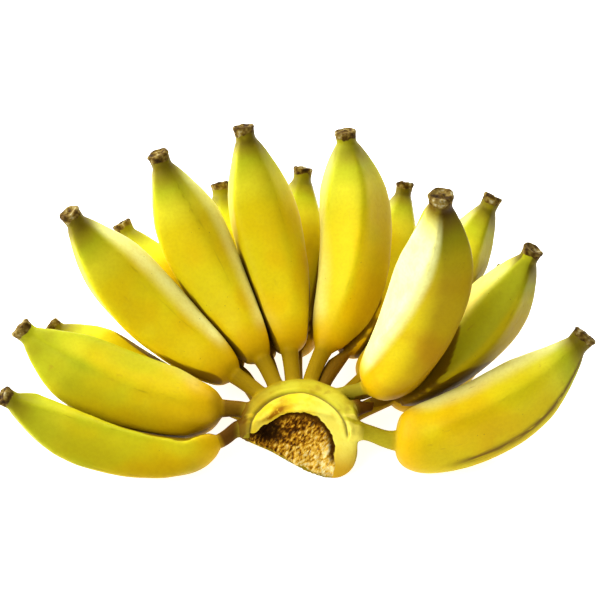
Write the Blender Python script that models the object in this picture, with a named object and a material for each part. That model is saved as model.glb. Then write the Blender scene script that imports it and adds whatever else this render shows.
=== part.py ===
"""A cut hand of bananas lying on its lower row: one crown and sixteen fingers in two rows."""
from dataclasses import dataclass

import bmesh
import bpy
import numpy as np

MM = 0.001

# --- crown: the piece of fruit stalk that the fingers grow from -----------------------------
WALL_RADIUS = 29.0 * MM          # outside of the crown, where the fruit stalks leave it
CROWN_CENTRE_Y = 8.0 * MM        # middle of the D shaped crown, seen from above
CUT_FOOT_Y = -12.0 * MM          # where the cut face meets the table
CUT_SLOPE = 0.58                 # how far the cut face leans back for each unit of height
CUT_BULGE_RIGHT = 5.0 * MM       # the cut face comes forward towards its right-hand end
CUT_BULGE_LEFT = 2.0 * MM
BULGE_START = 12.0 * MM          # distance from the middle where the face starts to come forward
BULGE_RUN = 14.0 * MM
CHIP_HEIGHT = 15.0 * MM          # the underside is chipped away at the front left
CHIP_START = 16.0 * MM           # the chip begins here, right of the middle
CHIP_RUN = 42.0 * MM             # and is full this much further left
SHOULDER_HEIGHT = 26.0 * MM      # top edge of the crown's wall
CREST_DROP = 1.4 * MM            # the top edge of the cut face arches: it is this much lower at its ends
CREST_HALF_WIDTH = 13.0 * MM
CREST_START = 27.0 * MM          # height where the arch begins to show
CREST_RUN = 3.0 * MM
CROWN_ROUNDING = 9.0             # exponent of the rounded D: higher is squarer
CROWN_BACK_STEPS = 28            # steps round the back
CROWN_FACE_STEPS = 14            # steps across the cut face
# height, radius of the round back, height used along the cut face
CROWN_LEVELS_MM = (
    (0.0, 21.0, 0.0),
    (1.4, 24.6, 1.4),
    (4.2, 27.6, 4.2),
    (8.5, 29.0, 8.5),
    (14.5, 29.0, 14.5),
    (20.5, 29.0, 20.5),
    (25.0, 29.0, 25.0),
    (26.7, 28.3, 26.2),
    (27.2, 27.2, 26.9),
    (26.5, 26.2, 27.3),
    (27.0, 25.2, 27.8),
    (28.8, 21.8, 28.8),
    (30.8, 17.0, 30.8),
    (32.0, 12.0, 32.0),
)

# --- fingers --------------------------------------------------------------------------------
UPPER_ROOT = 22.5 * MM           # height where the upper row leaves the crown
LOWER_ROOT = 12.5 * MM           # height where the lower row leaves the crown
STALK_RADIUS = 4.2 * MM
ROOT_FLARE = 0.25                # the stalk is this much thicker at the crown
ROOT_GAP = 0.3 * MM              # clearance between a stalk and the crown
SLIDE_IN = 0.8 * MM              # how far a stalk end may be trimmed or lengthened to fit
SLIDE_OUT = 5.0 * MM
SKIN_GAP = 0.6 * MM              # clearance between neighbouring fingers
FACES = 5                        # a finger is a soft five-sided prism
FACE_TURNS = (0.0, 9.0, -7.0, 6.0, -8.0)
FACE_REACH = (0.97, 1.00, 0.95, 1.02, 0.98)
FACE_ROUNDING = 8.0
PRESS_ROUNDING = 12.0
PUSH_EASE = 0.15                 # share of the body over which a finger's push comes and goes
NEIGHBOUR_REACH = 8.0 * MM       # fingers further apart than this do not press each other
FINGER_SIDES = 16
SPINE_STEPS = 61
STALK_RINGS = (0.0, 0.32, 0.64, 0.92)
BODY_RINGS = (0.02, 0.06, 0.115, 0.19, 0.29, 0.40, 0.51, 0.61, 0.70, 0.78, 0.85, 0.91, 0.955, 1.0)
# share of the body length, share of the belly radius
BODY_SHAPE = (
    (0.00, 0.26),
    (0.03, 0.50),
    (0.075, 0.70),
    (0.15, 0.86),
    (0.26, 0.95),
    (0.42, 1.00),
    (0.58, 0.985),
    (0.70, 0.90),
    (0.79, 0.74),
    (0.87, 0.54),
    (0.93, 0.38),
    (0.965, 0.285),
    (1.00, 0.300),
)
# the dried flower end beyond the body: distance along the axis, share of the end radius
TIP_RINGS_MM = ((0.9, 1.10), (2.3, 1.12), (3.2, 0.74))

GREEN_YELLOW = (0.72, 0.60, 0.05, 1.0)
WARM_YELLOW = (0.80, 0.55, 0.03, 1.0)
STALK_YELLOW = (0.62, 0.52, 0.08, 1.0)


@dataclass(frozen=True)
class Finger:
    """One banana: angles in degrees, lengths in millimetres."""

    number: int
    root: float          # where round the crown the stalk leaves
    aim: float           # heading of the stalk, seen from above
    face: float          # heading of the body at its start
    swing: float         # how far the heading turns towards the tip
    leave: float         # upward slope of the stalk
    rise: float          # upward slope of the body at its start
    bend: float          # further upward bend towards the tip
    length: float
    belly: float         # belly radius
    stalk: float         # stalk length
    sag: float = 12.0    # droop of the shoulder
    height: float = UPPER_ROOT / MM
    early: float = 0.0   # moves the fattest part towards the stalk
    roll: float = 0.0    # turns the five faces about the axis
    push: float = 0.0    # presses neighbours back this much beyond an even share


LOW = LOWER_ROOT / MM
FINGERS = (
    Finger(1, 170, 232, 183, -9, -4, -4, 46, 128, 16.6, 15, 12, 20.0, push=-5),
    Finger(2, 152, 185, 175, -15, 9, 1, 40, 126, 18.7, 14, 12, roll=10, push=5),
    Finger(3, 145, 159, 157, 1, 7, -3, 33, 118, 16.7, 24, 9, LOW, push=-1),
    Finger(4, 129, 141, 144, 10, 7, 12, 47, 143, 18.1, 21, 11, roll=-12, push=1),
    Finger(5, 126, 118, 132, -3, 7, 0, 40, 134, 17.1, 30, 9, LOW),
    Finger(6, 112, 113, 122, 8, 9, 16, 47, 144, 18.7, 22, 10, roll=-16),
    Finger(7, 109, 105, 109, -8, 7, 0, 43, 136, 17.2, 31, 9, LOW),
    Finger(8, 96, 95, 100, 12, 9, 17, 46, 146, 18.4, 23, 9, roll=-40),
    Finger(9, 94, 91, 91, -8, 7, 2, 44, 139, 17.1, 31, 9, LOW),
    Finger(10, 81, 70, 65, 40, 9, 16, 44, 145, 18.9, 25, 11, early=-0.2, roll=36, push=1),
    Finger(11, 72, 60, 64, 14, 4, -7, 46, 142, 15.6, 33, 9, 19.5, push=-2),
    Finger(12, 50, -5, 14, 74, 8, 55, 29, 138, 20.2, 17, 13, roll=48, push=4),
    Finger(13, 55, 45, 49, 1, 7, 6, 43, 146, 16.9, 24, 8, LOW, push=-1),
    Finger(14, 36, 25, 39, 15, 7, -2, 38, 122, 17.3, 26, 8, LOW),
    Finger(15, 30, 8, 31, 8, 8, 14, 44, 129, 17.1, 24, 13, roll=-10, push=-1),
    Finger(16, 6, -24, 12, 22, -11, 5, 30, 131, 21.0, 20, 9, 20.5, early=0.2, roll=20, push=2),
)


# --- small maths ------------------------------------------------------------------------------
def smooth(value):
    """Ease from 0 to 1."""
    value = np.clip(value, 0.0, 1.0)
    return value * value * (3.0 - 2.0 * value)


def through(points, where):
    """Monotone cubic curve through (place, value) points."""
    place, value = np.array(points, float).T
    step = np.diff(place)
    slope = np.diff(value) / step
    tangent = np.zeros(len(place))
    tangent[0] = slope[0]
    tangent[-1] = slope[-1]
    same = slope[:-1] * slope[1:] > 0.0
    early = 2.0 * step[1:] + step[:-1]
    late = step[1:] + 2.0 * step[:-1]
    safe_a = np.where(same, slope[:-1], 1.0)
    safe_b = np.where(same, slope[1:], 1.0)
    tangent[1:-1] = np.where(same, (early + late) / (early / safe_a + late / safe_b), 0.0)
    cell = np.clip(np.searchsorted(place, where, side="right") - 1, 0, len(step) - 1)
    width = step[cell]
    t = np.clip((where - place[cell]) / width, 0.0, 1.0)
    start = (1.0 + 2.0 * t) * (1.0 - t) ** 2 * value[cell]
    start = start + t * (1.0 - t) ** 2 * width * tangent[cell]
    end = t * t * (3.0 - 2.0 * t) * value[cell + 1]
    end = end + t * t * (t - 1.0) * width * tangent[cell + 1]
    return start + end


# --- crown shape ------------------------------------------------------------------------------
def crown_reach(angle, round_radius, face_height):
    """Distance from the crown's middle to its skin: a round back joined to a flat cut face."""
    sine = np.sin(angle)
    cosine = np.cos(angle)
    along = -CROWN_CENTRE_Y * sine
    back = along + np.sqrt(along ** 2 + round_radius ** 2 - CROWN_CENTRE_Y ** 2)
    depth = CROWN_CENTRE_Y - (CUT_FOOT_Y + CUT_SLOPE * face_height)
    across = depth * cosine / np.maximum(0.05, -sine)
    depth = depth + CUT_BULGE_RIGHT * smooth((across - BULGE_START) / BULGE_RUN)
    depth = depth + CUT_BULGE_LEFT * smooth((-across - BULGE_START) / BULGE_RUN)
    front = np.maximum(0.0, -sine) / depth
    return (back ** -CROWN_ROUNDING + front ** CROWN_ROUNDING) ** (-1.0 / CROWN_ROUNDING)


def crown_angles(radius, face_height):
    """Directions with even steps round the back and across the face, none astride a corner."""
    fine = np.linspace(-0.5 * np.pi, 1.5 * np.pi, 1441)
    reach = crown_reach(fine, radius, face_height)
    x = reach * np.cos(fine)
    y = reach * np.sin(fine)
    travel = np.concatenate([[0.0], np.cumsum(np.hypot(np.diff(x), np.diff(y)))])
    corner_right = travel[np.argmax(np.where(x > 0.0, np.abs(x) - 1.2 * y, -1.0))]
    corner_left = travel[np.argmax(np.where(x < 0.0, np.abs(x) - 1.2 * y, -1.0))]
    back = np.linspace(corner_right, corner_left, CROWN_BACK_STEPS + 1)
    front = np.linspace(corner_left, corner_right + travel[-1], CROWN_FACE_STEPS + 1)
    stops = np.concatenate([back[:-1], front[:-1]])
    return np.interp(np.mod(stops, travel[-1]), travel, fine)


def crown_rings():
    """Closed rings of points from the underside of the crown to its top."""
    rings = []
    for level in CROWN_LEVELS_MM:
        height, radius, face_height = (MM * value for value in level)
        angle = crown_angles(radius, face_height)
        back_share = smooth((np.sin(angle) + 0.35) / 0.45)
        reach = crown_reach(angle, radius, face_height)
        x = reach * np.cos(angle)
        y = CROWN_CENTRE_Y + reach * np.sin(angle)
        z = face_height + (height - face_height) * back_share
        chip_share = 1.0 - smooth(np.sin(angle) / 0.7)
        chip = CHIP_HEIGHT * smooth((CHIP_START - x) / CHIP_RUN) * chip_share
        share = chip / SHOULDER_HEIGHT
        crest = CREST_DROP * smooth(np.abs(x) / CREST_HALF_WIDTH) * smooth((z - CREST_START) / CREST_RUN)
        lift = np.maximum(0.0, chip - share * z) - crest
        y = y + CUT_SLOPE * lift * (1.0 - back_share)
        shrink = np.maximum(1.0, np.hypot(x, y) / radius)
        rings.append(np.stack([x / shrink, y / shrink, z + lift], axis=1))
    return rings


def slide_to_crown(points, heading):
    """Move points along the stalk until they stand just clear of the crown."""
    radii = [(row[0], row[1]) for row in CROWN_LEVELS_MM[:8]]
    near = np.full(len(points), -SLIDE_IN)
    far = np.full(len(points), SLIDE_OUT)
    for _ in range(24):
        middle = 0.5 * (near + far)
        moved = points + middle[:, None] * heading
        from_centre = moved[:, :2] - np.array([0.0, CROWN_CENTRE_Y])
        angle = np.arctan2(from_centre[:, 1], from_centre[:, 0])
        height = np.clip(moved[:, 2], 0.0, SHOULDER_HEIGHT)
        radius = MM * through(radii, height / MM)
        reach = crown_reach(angle, radius, height)
        inside = np.linalg.norm(from_centre, axis=1) < reach + ROOT_GAP
        near = np.where(inside, middle, near)
        far = np.where(inside, far, middle)
    return points + far[:, None] * heading


# --- finger shape -----------------------------------------------------------------------------
@dataclass
class Spine:
    """Middle line of a finger with its frame and its plain radius."""

    place: np.ndarray
    centre: np.ndarray
    ahead: np.ndarray
    side: np.ndarray
    up: np.ndarray
    radius: np.ndarray
    body: np.ndarray
    firm: np.ndarray     # radius that neighbours feel


def spine_of(finger, place):
    """Middle line of a finger sampled at distances from the crown."""
    length = finger.length * MM
    stalk = finger.stalk * MM
    body = np.clip((place - stalk) / (length - stalk), 0.0, 1.0)
    ease = 0.6 * body + 0.4 * smooth(body)
    turn = smooth((place - 0.35 * stalk) / (1.1 * stalk))
    droop = finger.sag * np.exp(-((body - 0.08) / 0.09) ** 2) * turn
    slope = np.radians(finger.leave + (finger.rise - finger.leave) * turn + finger.bend * ease - droop)
    off_crown = smooth((place + 0.15 * stalk) / (0.8 * stalk))
    course = finger.root + (finger.aim - finger.root) * off_crown
    course = np.radians(course + (finger.face - finger.aim) * turn + finger.swing * ease)
    ahead = np.stack([np.cos(slope) * np.cos(course), np.cos(slope) * np.sin(course), np.sin(slope)], axis=1)
    root = np.radians(finger.root)
    first = np.array([WALL_RADIUS * np.cos(root), WALL_RADIUS * np.sin(root), finger.height * MM])
    moves = 0.5 * (ahead[1:] + ahead[:-1]) * np.diff(place)[:, None]
    centre = np.vstack([first, first + np.cumsum(moves, axis=0)])
    side = np.stack([np.sin(course), -np.cos(course), np.zeros(len(place))], axis=1)
    up = np.cross(side, ahead)
    belly = finger.belly * MM
    shape = through(BODY_SHAPE, body ** (1.0 - finger.early)) * belly
    along = np.clip(place / stalk, 0.0, 1.0)
    flare = 1.0 + ROOT_FLARE * np.clip(1.0 - along / 0.35, 0.0, 1.0) ** 2
    neck = STALK_RADIUS * flare + (BODY_SHAPE[0][1] * belly - STALK_RADIUS) * along ** 4
    radius = np.where(place < stalk, neck, shape)
    on_body = smooth(body / PUSH_EASE) * smooth((1.0 - body) / PUSH_EASE)
    return Spine(place, centre, ahead, side, up, radius, body, radius + finger.push * MM * on_body)


def skin_distance(points, spine):
    """Distance from points to the plain round skin of another finger."""
    start = spine.centre[:-1]
    run = spine.centre[1:] - start
    offset = points[..., None, :] - start
    share = np.clip((offset * run).sum(-1) / (run * run).sum(1), 0.0, 1.0)
    distance = np.linalg.norm(offset - share[..., None] * run, axis=-1)
    radius = spine.firm[:-1] + share * (spine.firm[1:] - spine.firm[:-1])
    return (distance - radius).min(-1)


def pressed_reach(spine, outward, free, other):
    """How far the skin can swell before it meets a neighbour half way."""
    near = np.zeros(free.shape)
    far = free * 1.4

    def crosses(reach):
        points = spine.centre[:, None, :] + reach[..., None] * outward
        return (reach - spine.firm[:, None]) > (skin_distance(points, other) - SKIN_GAP)

    touched = crosses(far)
    for _ in range(14):
        middle = 0.5 * (near + far)
        over = crosses(middle)
        far = np.where(over, middle, far)
        near = np.where(over, near, middle)
    return np.where(touched, near + 1e-5, 1.0)


def rings_of(finger, spine, others):
    """Rings of skin points: five soft faces, flattened where a neighbour or the table presses."""
    angle = np.linspace(0.0, 2.0 * np.pi, FINGER_SIDES, endpoint=False)
    normals = np.radians(finger.roll + np.arange(FACES) * 360.0 / FACES + np.array(FACE_TURNS))
    facing = np.maximum(0.0, np.cos(angle[:, None] - normals)) / np.array(FACE_REACH)
    prism = (facing ** FACE_ROUNDING).sum(1) ** (-1.0 / FACE_ROUNDING)
    prism = prism / prism.mean()
    share = smooth((spine.body - 0.02) / 0.25) * smooth((1.0 - spine.body) / 0.12)
    free = (1.0 + (prism - 1.0) * share[:, None]) * spine.radius[:, None]
    outward = (
        np.cos(angle)[None, :, None] * spine.side[:, None, :]
        + np.sin(angle)[None, :, None] * spine.up[:, None, :]
    )
    inverse = free ** -PRESS_ROUNDING
    for other in others:
        inverse = inverse + pressed_reach(spine, outward, free, other) ** -PRESS_ROUNDING
    reach = inverse ** (-1.0 / PRESS_ROUNDING)
    points = spine.centre[:, None, :] + reach[..., None] * outward
    points[..., 2] = np.maximum(points[..., 2], 0.0)
    return points


def finger_rings(finger, spines):
    """All rings of one finger from its stalk root to its dried flower end."""
    stalk = finger.stalk * MM
    body = (finger.length - finger.stalk) * MM
    places = [stalk * share for share in STALK_RINGS]
    places += [stalk + body * share for share in BODY_RINGS]
    fine = np.union1d(np.linspace(0.0, finger.length * MM, SPINE_STEPS), places)
    line = spine_of(finger, fine)
    keep = np.searchsorted(fine, np.array(places) - 1e-9)
    spine = Spine(*(getattr(line, name)[keep] for name in Spine.__dataclass_fields__))
    others = []
    for number, other in spines.items():
        if number != finger.number:
            if (skin_distance(line.centre, other) - line.radius).min() < NEIGHBOUR_REACH:
                others.append(other)
    rings = list(rings_of(finger, spine, others))
    root = rings[0]
    plug = spine.centre[0] + 0.5 * (root - spine.centre[0])
    rings[0] = slide_to_crown(root, spine.ahead[0])
    rings.insert(0, slide_to_crown(plug, spine.ahead[0]))
    end = rings[-1]
    middle = spine.centre[-1]
    for distance, share in TIP_RINGS_MM:
        rings.append(middle + (end - middle) * share + spine.ahead[-1] * distance * MM)
    return rings


# --- building ---------------------------------------------------------------------------------
def skin_material(name, colour, roughness):
    """Plain matte skin."""
    material = bpy.data.materials.new(name)
    material.use_nodes = True
    shader = material.node_tree.nodes["Principled BSDF"]
    shader.inputs["Base Color"].default_value = colour
    shader.inputs["Roughness"].default_value = roughness
    shader.inputs["Metallic"].default_value = 0.0
    return material


def loft(name, rings, material, collection):
    """Closed smooth skin through a stack of rings with equal point counts."""
    mesh = bpy.data.meshes.new(name)
    shape = bmesh.new()
    loops = [[shape.verts.new(tuple(point)) for point in ring] for ring in rings]
    count = len(loops[0])
    for lower, upper in zip(loops, loops[1:]):
        for index in range(count):
            after = (index + 1) % count
            shape.faces.new((lower[index], lower[after], upper[after], upper[index]))
    shape.faces.new(loops[0][::-1])
    shape.faces.new(loops[-1])
    bmesh.ops.recalc_face_normals(shape, faces=shape.faces)
    for face in shape.faces:
        face.smooth = len(face.verts) == 4
    shape.to_mesh(mesh)
    shape.free()
    mesh.materials.append(material)
    item = bpy.data.objects.new(name, mesh)
    collection.objects.link(item)
    return item


def build():
    """Build the crown and the sixteen fingers and stand the hand on the table."""
    for item in list(bpy.data.objects):
        bpy.data.objects.remove(item, do_unlink=True)
    hand = bpy.data.collections.new("banana_bunch")
    bpy.context.scene.collection.children.link(hand)

    spines = {}
    for finger in FINGERS:
        places = np.linspace(0.0, finger.length * MM, SPINE_STEPS)
        spines[finger.number] = spine_of(finger, places)

    stacks = {"crown": crown_rings()}
    for finger in FINGERS:
        stacks[f"banana_{finger.number:02d}"] = finger_rings(finger, spines)

    cloud = np.vstack([np.vstack(rings) for rings in stacks.values()])
    low = cloud.min(axis=0)
    high = cloud.max(axis=0)
    shift = -np.array([0.5 * (low[0] + high[0]), 0.5 * (low[1] + high[1]), low[2]])

    tones = (GREEN_YELLOW, WARM_YELLOW)
    for index, (name, rings) in enumerate(stacks.items()):
        tone = STALK_YELLOW if name == "crown" else tones[index % 2]
        material = skin_material(name + "_skin", tone, 0.45)
        placed = [ring + shift for ring in rings]
        loft(name, placed, material, hand)


build()
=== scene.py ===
"""Looks for a cut hand of bananas: waxy peel, dried flower ends and a fibrous crown on a pale table."""

import logging
import math
from dataclasses import dataclass, field
from enum import Enum

import bmesh
import bpy
import numpy as np
from mathutils import Euler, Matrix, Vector


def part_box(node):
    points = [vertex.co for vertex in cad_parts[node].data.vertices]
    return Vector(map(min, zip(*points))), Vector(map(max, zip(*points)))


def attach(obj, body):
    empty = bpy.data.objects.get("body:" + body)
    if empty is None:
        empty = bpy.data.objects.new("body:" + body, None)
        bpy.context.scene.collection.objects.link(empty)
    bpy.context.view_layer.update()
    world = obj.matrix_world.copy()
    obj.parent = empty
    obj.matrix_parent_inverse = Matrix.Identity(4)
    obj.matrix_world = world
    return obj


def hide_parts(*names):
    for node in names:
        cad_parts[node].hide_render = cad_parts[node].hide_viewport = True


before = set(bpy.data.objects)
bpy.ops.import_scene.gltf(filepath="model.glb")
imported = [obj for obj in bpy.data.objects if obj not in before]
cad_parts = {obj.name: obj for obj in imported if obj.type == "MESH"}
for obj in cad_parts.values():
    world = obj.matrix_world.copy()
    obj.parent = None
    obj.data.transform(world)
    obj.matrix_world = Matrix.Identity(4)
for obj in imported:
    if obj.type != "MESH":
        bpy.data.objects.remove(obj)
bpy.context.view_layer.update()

LOG = logging.getLogger("banana_hand")
MM = 0.001
WALL_RADIUS = 29.0
CLEAR = 1000.0
Colour = tuple[float, float, float]


# --- small maths ----------------------------------------------------------------------------------
def smooth(value: np.ndarray) -> np.ndarray:
    """Ease from 0 to 1."""
    value = np.clip(value, 0.0, 1.0)
    return value * value * (3.0 - 2.0 * value)


def bell(distance: np.ndarray, width: float) -> np.ndarray:
    """A rounded bump of height 1 round distance 0."""
    return np.exp(-((distance / width) ** 2))


def through(points: tuple, where: np.ndarray) -> np.ndarray:
    """Monotone cubic curve through a few points.

    Args:
        points: (place, value) pairs in rising order of place.
        where: the places to read.

    Returns:
        The value of the curve at each place.
    """
    place, value = np.array(points, float).T
    step = np.diff(place)
    slope = np.diff(value) / step
    tangent = np.concatenate([slope[:1], np.zeros(len(place) - 2), slope[-1:]])
    same = slope[:-1] * slope[1:] > 0.0
    early = 2.0 * step[1:] + step[:-1]
    late = step[1:] + 2.0 * step[:-1]
    safe_a = np.where(same, slope[:-1], 1.0)
    safe_b = np.where(same, slope[1:], 1.0)
    tangent[1:-1] = np.where(same, (early + late) / (early / safe_a + late / safe_b), 0.0)
    cell = np.clip(np.searchsorted(place, where, side="right") - 1, 0, len(step) - 1)
    width = step[cell]
    t = np.clip((where - place[cell]) / width, 0.0, 1.0)
    start = (1.0 + 2.0 * t) * (1.0 - t) ** 2 * value[cell]
    start = start + t * (1.0 - t) ** 2 * width * tangent[cell]
    end = t * t * (3.0 - 2.0 * t) * value[cell + 1]
    return start + end + t * t * (t - 1.0) * width * tangent[cell + 1]


def doubled(grid: np.ndarray, soft: bool = True) -> np.ndarray:
    """Twice as many steps round each ring.

    Args:
        grid: one row for each ring, one column for each direction round it.
        soft: use a smooth curve between the columns, or else a straight line.

    Returns:
        The grid with a new column between each pair.
    """
    after = np.roll(grid, -1, axis=1)
    middle = 0.5 * (grid + after)
    if soft:
        outer = np.roll(grid, 1, axis=1) + np.roll(grid, -2, axis=1)
        middle = (9.0 * (grid + after) - outer) / 16.0
    return np.stack([grid, middle], axis=2).reshape(len(grid), -1)


def _dice(cell: np.ndarray, layer: int) -> np.ndarray:
    """A fixed random number from -1 to 1 for each whole-numbered place."""
    whole = cell.astype(np.int64).astype(np.uint32)
    mixed = whole[..., 0] * np.uint32(374761393) + whole[..., 1] * np.uint32(668265263)
    mixed = mixed + whole[..., 2] * np.uint32(2246822519) + np.uint32(97 * layer)
    mixed = (mixed ^ (mixed >> np.uint32(13))) * np.uint32(1274126177)
    mixed = mixed ^ (mixed >> np.uint32(16))
    return mixed.astype(float) / 2147483648.0 - 1.0


def ripple(points: np.ndarray, size: float, seed: float, octaves: int = 2) -> np.ndarray:
    """Smooth random heights, about -1 to 1.

    Args:
        points: places in millimetres.
        size: width of one lump in millimetres.
        seed: shifts the pattern.
        octaves: how many layers are added, each finer and lower than the last.

    Returns:
        One height for each point.
    """
    place = points / size + seed * np.array([7.3, 3.1, 5.7])
    total = np.zeros(points.shape[:-1])
    for layer in range(octaves):
        base = np.floor(place)
        share = smooth(place - base)
        for corner in range(8):
            step = np.array([corner & 1, corner >> 1 & 1, corner >> 2 & 1])
            near = np.where(step == 1, share, 1.0 - share).prod(axis=-1)
            total = total + near * _dice(base + step, layer) * 0.55**layer
        place = place * 2.03 + 11.7
    return total


# --- shader building --------------------------------------------------------------------------------
class Value:
    """A number that varies over a surface: one socket of a finish's network."""

    def __init__(self, net: "Net", socket: bpy.types.NodeSocket) -> None:
        """Wrap a socket of a network."""
        self.net = net
        self.socket = socket

    def _maths(self, operation: str, first: object, second: object = 0.0) -> "Value":
        """Add one Math node and wrap its result."""
        node = self.net.add("ShaderNodeMath", {"operation": operation}, {0: first, 1: second})
        return Value(self.net, node.outputs[0])

    def __add__(self, other: object) -> "Value":
        """Sum."""
        return self._maths("ADD", self, other)

    def __sub__(self, other: object) -> "Value":
        """Difference."""
        return self._maths("SUBTRACT", self, other)

    def __rsub__(self, other: object) -> "Value":
        """Difference from a number."""
        return self._maths("SUBTRACT", other, self)

    def __mul__(self, other: object) -> "Value":
        """Product."""
        return self._maths("MULTIPLY", self, other)

    def __truediv__(self, other: object) -> "Value":
        """Quotient."""
        return self._maths("DIVIDE", self, other)

    def __pow__(self, other: object) -> "Value":
        """Power."""
        return self._maths("POWER", self, other)

    __radd__ = __add__
    __rmul__ = __mul__

    def between(self, low: float, high: float) -> "Value":
        """Ease from 0 at low to 1 at high."""
        settings = {"interpolation_type": "SMOOTHSTEP"}
        inputs = {"Value": self, "From Min": low, "From Max": high}
        node = self.net.add("ShaderNodeMapRange", settings, inputs)
        return Value(self.net, node.outputs["Result"])

    def highest(self, other: object) -> "Value":
        """The larger of two values."""
        return self._maths("MAXIMUM", self, other)


class Net:
    """The node network of one material, ending in a Principled surface."""

    def __init__(self, name: str) -> None:
        """Start an empty network with its surface and its place on the object."""
        self.material = bpy.data.materials.new(name)
        self.material.use_nodes = True
        self.tree = self.material.node_tree
        self.surface = self.tree.nodes["Principled BSDF"]
        self.place = self.add("ShaderNodeTexCoord", {}, {}).outputs["Object"]

    def add(self, kind: str, settings: dict, inputs: dict) -> bpy.types.ShaderNode:
        """Add one node.

        Args:
            kind: the node's type name.
            settings: its own settings; a ramp's colours are given as "stops".
            inputs: numbers, colours, Values or sockets, by the input's name or index.

        Returns:
            The new node.
        """
        node = self.tree.nodes.new(kind)
        for key, value in settings.items():
            if key == "stops":
                self._set_stops(node.color_ramp, value)
            else:
                setattr(node, key, value)
        for key, value in inputs.items():
            self.feed(node.inputs[key], value)
        return node

    def feed(self, target: bpy.types.NodeSocket, value: object) -> None:
        """Link a Value or a socket to an input, or set the input to a number or colour."""
        if isinstance(value, Value):
            self.tree.links.new(value.socket, target)
        elif isinstance(value, bpy.types.NodeSocket):
            self.tree.links.new(value, target)
        elif isinstance(value, tuple) and target.type == "RGBA":
            target.default_value = (*value, 1.0)
        else:
            target.default_value = value

    @staticmethod
    def _set_stops(ramp: bpy.types.ColorRamp, stops: tuple) -> None:
        """Place a ramp's colours."""
        while len(ramp.elements) < len(stops):
            ramp.elements.new(1.0)
        for element, (place, colour) in zip(ramp.elements, stops):
            element.position = place
            element.color = (*colour, 1.0)

    def mark(self, name: str) -> Value:
        """Read a number stored on the mesh."""
        node = self.add("ShaderNodeAttribute", {"attribute_name": name}, {})
        return Value(self, node.outputs["Fac"])

    def track(self, name: str) -> bpy.types.NodeSocket:
        """Read a vector stored on the mesh."""
        return self.add("ShaderNodeAttribute", {"attribute_name": name}, {}).outputs["Vector"]

    def stretched(self, place: bpy.types.NodeSocket, scale: Colour) -> bpy.types.NodeSocket:
        """Scale a place by a different amount along each axis."""
        node = self.add("ShaderNodeVectorMath", {"operation": "MULTIPLY"}, {0: place, 1: scale})
        return node.outputs["Vector"]

    def grain(self, size: float, detail: float = 2.0, place: object = None, shift: float = 0.0) -> Value:
        """Cloudy pattern from 0 to 1.

        Args:
            size: width of one cloud in millimetres.
            detail: how many finer layers are added.
            place: where it is read, or else the place on the object.
            shift: slides the pattern by this many clouds.

        Returns:
            The pattern's value.
        """
        settings = {"noise_dimensions": "4D"}
        inputs = {"Vector": place or self.place, "W": shift, "Scale": 1.0 / (size * MM), "Detail": detail}
        node = self.add("ShaderNodeTexNoise", settings, inputs)
        return Value(self, node.outputs["Fac"])

    def cells(self, size: float) -> Value:
        """Distance to the nearest of many scattered points, in cells of a size in millimetres."""
        inputs = {"Vector": self.place, "Scale": 1.0 / (size * MM)}
        node = self.add("ShaderNodeTexVoronoi", {"feature": "F1"}, inputs)
        return Value(self, node.outputs["Distance"])

    def ramp(self, value: Value, stops: tuple) -> bpy.types.NodeSocket:
        """Colour along a value, through a few stops."""
        return self.add("ShaderNodeValToRGB", {"stops": stops}, {"Fac": value}).outputs["Color"]

    def blend(self, share: object, first: object, second: object, kind: str = "MIX") -> bpy.types.NodeSocket:
        """Mix two colours.

        Args:
            share: how much of the second, from 0 to 1.
            first: a colour or a socket.
            second: a colour or a socket.
            kind: how the second is laid over the first.

        Returns:
            The mixed colour.
        """
        settings = {"data_type": "RGBA", "blend_type": kind}
        return self.add("ShaderNodeMix", settings, {0: share, 6: first, 7: second}).outputs[2]

    def relief(self, height: Value, depth: float, below: object = None) -> bpy.types.NodeSocket:
        """Small surface relief.

        Args:
            height: relief from 0 to 1.
            depth: height of a full step in millimetres.
            below: the relief that it lies on.

        Returns:
            The bent normal.
        """
        inputs = {"Height": height, "Distance": depth * MM, "Strength": 1.0}
        if below is not None:
            inputs["Normal"] = below
        return self.add("ShaderNodeBump", {}, inputs).outputs["Normal"]

    def finish(
        self, colour: object, roughness: object, normal: object, specular: float
    ) -> bpy.types.Material:
        """Feed the surface and hand over the material.

        Args:
            colour: base colour, as a colour or a socket.
            roughness: roughness, as a number or a Value.
            normal: the bent normal.
            specular: strength of the mirror-like sheen.

        Returns:
            The finished material.
        """
        self.feed(self.surface.inputs["Base Color"], colour)
        self.feed(self.surface.inputs["Roughness"], roughness)
        self.feed(self.surface.inputs["Normal"], normal)
        self.surface.inputs["Specular IOR Level"].default_value = specular
        return self.material


# --- finishes ---------------------------------------------------------------------------------------
class StalkTone(Enum):
    """How far a stalk has browned."""

    BROWN = (0.105, 0.040, 0.001)
    UMBER = (0.190, 0.095, 0.002)
    OLIVE = (0.300, 0.185, 0.000)
    MOSS = (0.260, 0.210, 0.008)
    GREEN = (0.400, 0.330, 0.010)


TONE = StalkTone
GOLD = (0.66, 0.400, 0.001)
WARM_YELLOW = (0.74, 0.520, 0.002)
YELLOW = (0.76, 0.600, 0.004)
LEMON = (0.78, 0.700, 0.020)
LIME = (0.50, 0.520, 0.012)
MOSS = (0.300, 0.250, 0.008)
BARK = (0.090, 0.040, 0.002)
# painted shade: dark brown laid in the creases between touching fingers
CREASE_SHADE = (0.190, 0.100, 0.001)
CUSHION = (0.46, 0.39, 0.012)
# painted highlight: near white laid on the faces turned towards the lamps
PAINTED_HIGHLIGHT_COLOUR = (0.97, 0.96, 0.36)
# painted shade: multiplied over the side turned away from the lamps
SHADE = (0.52, 0.44, 0.10)
WHITE = (1.0, 1.0, 1.0)
SHADE_SIDE = np.array([0.72, -0.62, -0.30])    # the side that gets painted shade, turned away from the lamps


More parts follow.
